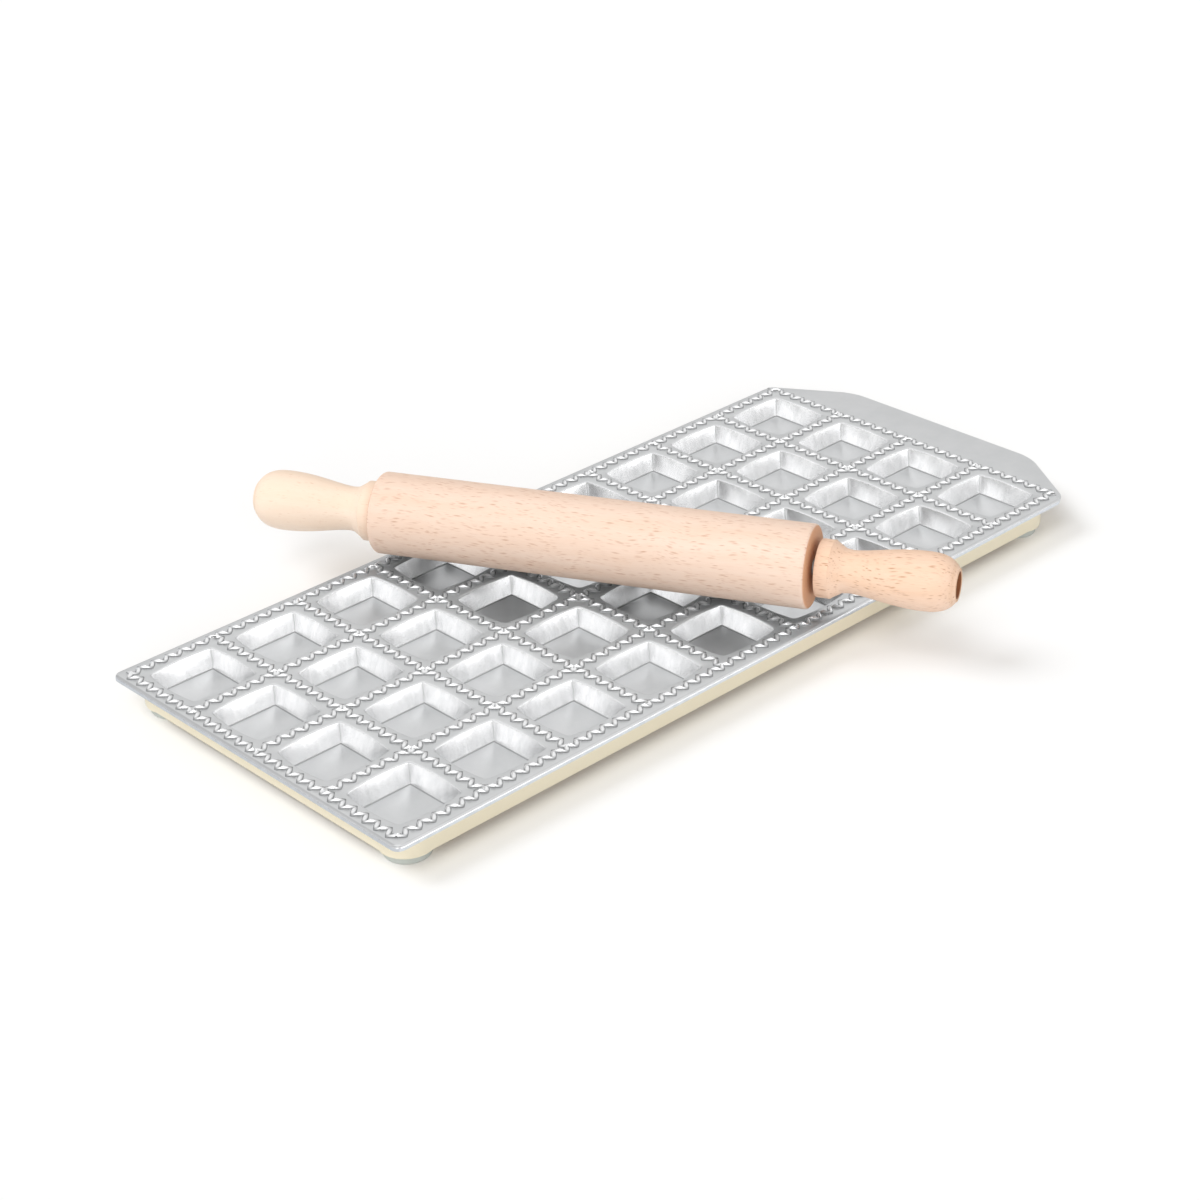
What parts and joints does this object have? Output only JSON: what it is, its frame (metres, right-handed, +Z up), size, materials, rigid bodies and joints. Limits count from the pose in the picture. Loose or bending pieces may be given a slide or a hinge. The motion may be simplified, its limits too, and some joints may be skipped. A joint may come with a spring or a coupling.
{
  "type": "ravioli mould",
  "caption": "Ravioli mould: a pressed metal plate of square pockets edged by zigzag cutting ridges, on a footed plastic frame, with a loose-handled wooden rolling pin across it.",
  "frame": {"origin": "on the surface that the feet stand on, under the middle of the whole part's bounding box", "axes": "+X along the plate towards its grip tab, +Y across the plate, +Z up"},
  "size_m": [0.319, 0.222, 0.0424],
  "materials": {
    "plate_metal": "satin, pressed and lightly brushed",
    "frame_plastic": "smooth moulded ivory",
    "foot_rubber": "matt grey",
    "barrel_wood": "plain sanded beech",
    "handle_wood": "sanded and lightly waxed beech",
    "axle_steel": "zinc plated"
  },
  "bodies": {
    "mould": {"die_plate": "plate_metal", "base_frame": "frame_plastic", "foot_1": "foot_rubber", "foot_2": "foot_rubber", "foot_3": "foot_rubber", "foot_4": "foot_rubber"},
    "pin_axle": {"axle_rod": "axle_steel", "washer_left": "axle_steel", "washer_right": "axle_steel", "nut_left": "axle_steel", "nut_right": "axle_steel"},
    "pin_barrel": {"barrel": "barrel_wood"},
    "left_grip": {"handle_left": "handle_wood"},
    "right_grip": {"handle_right": "handle_wood"}
  },
  "joints": [
    {"name": "pin_travel", "type": "slide", "parent": "mould", "child": "pin_axle", "axis": [0.8854, 0.4648, 0], "range_m": [-0.1, 0.1]},
    {"name": "barrel_spin", "type": "hinge", "parent": "pin_axle", "child": "pin_barrel", "pos_m": [-0.0125, 0.00064, 0.0285], "axis": [-0.4648, 0.8854, 0], "continuous": true},
    {"name": "handle_left_spin", "type": "hinge", "parent": "pin_axle", "child": "left_grip", "pos_m": [-0.0125, 0.00064, 0.0285], "axis": [-0.4648, 0.8854, 0], "continuous": true},
    {"name": "handle_right_spin", "type": "hinge", "parent": "pin_axle", "child": "right_grip", "pos_m": [-0.0125, 0.00064, 0.0285], "axis": [-0.4648, 0.8854, 0], "continuous": true}
  ],
  "couplings": [
    {"joint": "barrel_spin", "follows": "pin_travel", "rad_per_m": 71.942}
  ]
}
